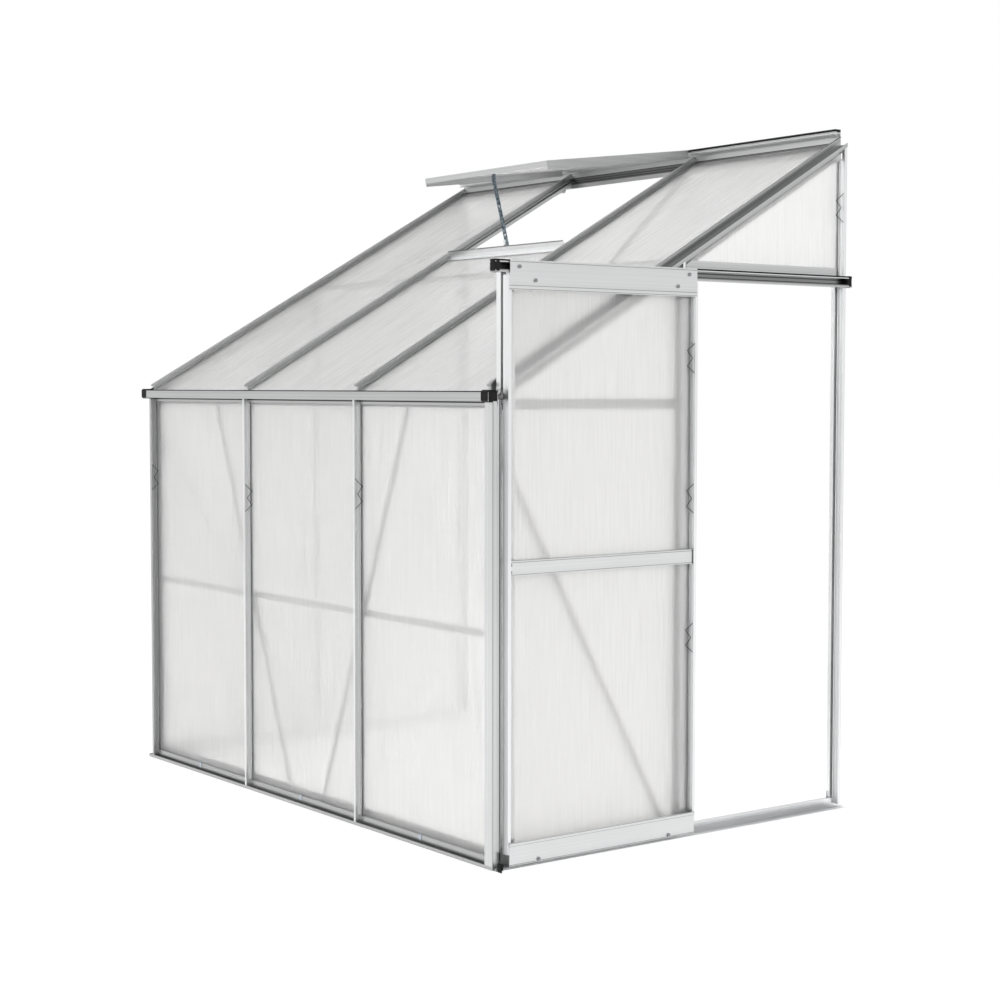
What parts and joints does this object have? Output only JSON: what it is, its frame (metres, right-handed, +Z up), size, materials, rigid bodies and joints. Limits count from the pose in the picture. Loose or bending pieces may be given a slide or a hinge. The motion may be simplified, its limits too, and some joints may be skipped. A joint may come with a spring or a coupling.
{
  "type": "lean-to greenhouse",
  "caption": "Lean-to greenhouse with an aluminium bar frame, translucent sheets, a sliding gable door on a top rail, a hinged roof vent on a stay and an eave gutter.",
  "frame": {"origin": "on the ground in the house-wall plane, halfway along the greenhouse", "axes": "+X along the house wall towards the door gable, +Y into the house wall, +Z up"},
  "size_m": [1.969, 1.292, 1.9764],
  "materials": {
    "aluminium": "mill finish, satin",
    "sheet": "clear twin-wall polycarbonate, ribbed and hazy",
    "bolts": "plain turned",
    "spring_wire": "drawn wire",
    "zinc_steel": "bluish zinc plate",
    "black_plastic": "moulded, matt",
    "nylon": "moulded, satin"
  },
  "bodies": {
    "frame": {"corner_plates": "zinc_steel", "door_jamb": "aluminium", "door_rail": "aluminium", "door_sill": "aluminium", "door_transom": "aluminium", "eave_brackets": "zinc_steel", "eave_gutter": "aluminium", "end_caps": "black_plastic", "frame_bolts": "bolts", "front_braces": "aluminium", "front_left_post": "aluminium", "front_panes": "sheet", "front_right_post": "aluminium", "front_sill": "aluminium", "front_studs": "aluminium", "gable_braces": "aluminium", "left_cross_bar": "aluminium", "left_gable_stud": "aluminium", "left_panes_lower": "sheet", "left_panes_upper": "sheet", "left_sill": "aluminium", "mid_rails": "aluminium", "middle_rafters": "aluminium", "middle_roof_pane": "sheet", "pane_clips": "zinc_steel", "rafter_left": "aluminium", "rafter_right": "aluminium", "rail_post": "aluminium", "ridge_bar": "aluminium", "right_cross_bar": "aluminium", "right_pane_lower": "sheet", "right_pane_upper": "sheet", "roof_braces": "aluminium", "roof_purlin": "aluminium", "side_roof_panes": "sheet", "transom_pane": "sheet", "vent_sill": "aluminium", "wall_left_post": "aluminium", "wall_right_post": "aluminium", "wire_clips": "spring_wire"},
    "door_leaf": {"door_stile_front": "aluminium", "door_stile_rear": "aluminium", "door_mid_rail": "aluminium", "door_bottom_rail": "aluminium", "door_top_rail": "aluminium", "door_pane_lower": "sheet", "door_pane_upper": "sheet", "guide_shoes": "black_plastic", "door_clips": "spring_wire", "door_bolts": "bolts"},
    "door_roller_front": {"door_roller_front": "nylon"},
    "door_roller_rear": {"door_roller_rear": "nylon"},
    "vent_stay": {"vent_stay": "zinc_steel"},
    "vent_lid": {"vent_hinge_bar": "aluminium", "vent_side_bars": "aluminium", "vent_front_bar": "aluminium", "vent_pane": "sheet", "stay_bracket": "zinc_steel"}
  },
  "joints": [
    {"name": "door_slide", "type": "slide", "parent": "frame", "child": "door_leaf", "axis": [0, 1, 0], "range_m": [0, 0.6]},
    {"name": "front_roller_spin", "type": "hinge", "parent": "door_leaf", "child": "door_roller_front", "pos_m": [0.9775, -1.214, 1.53396], "axis": [1, 0, 0], "range_deg": [-2720, 10]},
    {"name": "rear_roller_spin", "type": "hinge", "parent": "door_leaf", "child": "door_roller_rear", "pos_m": [0.9775, -0.64, 1.53396], "axis": [1, 0, 0], "range_deg": [-2720, 10]},
    {"name": "vent_hinge", "type": "hinge", "parent": "frame", "child": "vent_lid", "pos_m": [0, -0.02, 1.96536], "axis": [1, 0, 0], "range_deg": [0, 21.2]},
    {"name": "stay_hinge", "type": "hinge", "parent": "vent_lid", "child": "vent_stay", "pos_m": [0, -0.5596, 1.88036], "axis": [1, 0, 0], "range_deg": [0, 70]}
  ],
  "couplings": [
    {"joint": "front_roller_spin", "follows": "door_slide", "rad_per_m": -78.74},
    {"joint": "rear_roller_spin", "follows": "door_slide", "rad_per_m": -78.74}
  ]
}
